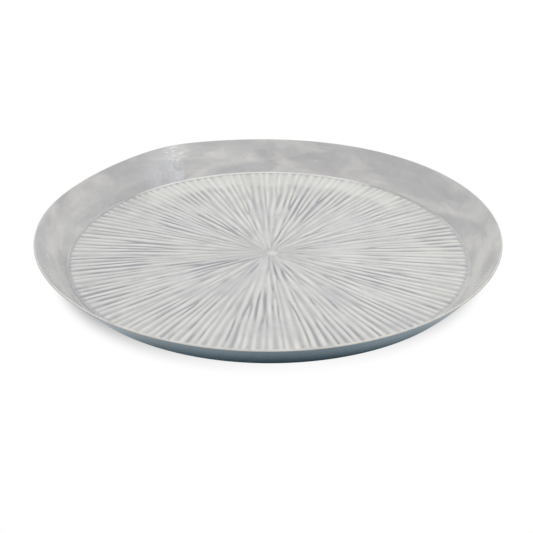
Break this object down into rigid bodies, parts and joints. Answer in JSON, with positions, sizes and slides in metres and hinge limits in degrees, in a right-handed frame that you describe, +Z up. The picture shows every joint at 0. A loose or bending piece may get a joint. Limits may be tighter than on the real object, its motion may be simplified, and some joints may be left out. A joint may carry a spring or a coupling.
{
  "type": "round serving tray",
  "caption": "Shallow round serving tray with a flared wall, a fluted sunburst floor in pearl enamel and a slate-blue lacquered outside, standing on small anti-slip pads.",
  "frame": {"origin": "on the table, under the middle of the tray, in the plane of the pads' flat faces", "axes": "+Z up out of the tray, +X to the right and +Y to the back as the picture shows the tray"},
  "size_m": [0.3799, 0.38, 0.029],
  "materials": {
    "spun_aluminium": "satin",
    "pearl_floor": "gloss",
    "adhesive": "gloss",
    "bead_enamel": "gloss",
    "marbled_enamel": "gloss",
    "lip_enamel": "gloss",
    "slate_lacquer": "gloss",
    "pad_silicone": "satin"
  },
  "bodies": {
    "root": {"pan": "spun_aluminium", "sunburst_disc": "pearl_floor", "bond_film": "adhesive", "corner_bead": "bead_enamel", "wall_enamel": "marbled_enamel", "rim_lip": "lip_enamel", "outer_lacquer": "slate_lacquer", "foot_pad_1": "pad_silicone", "foot_pad_2": "pad_silicone", "foot_pad_3": "pad_silicone", "foot_pad_4": "pad_silicone"}
  },
  "joints": []
}
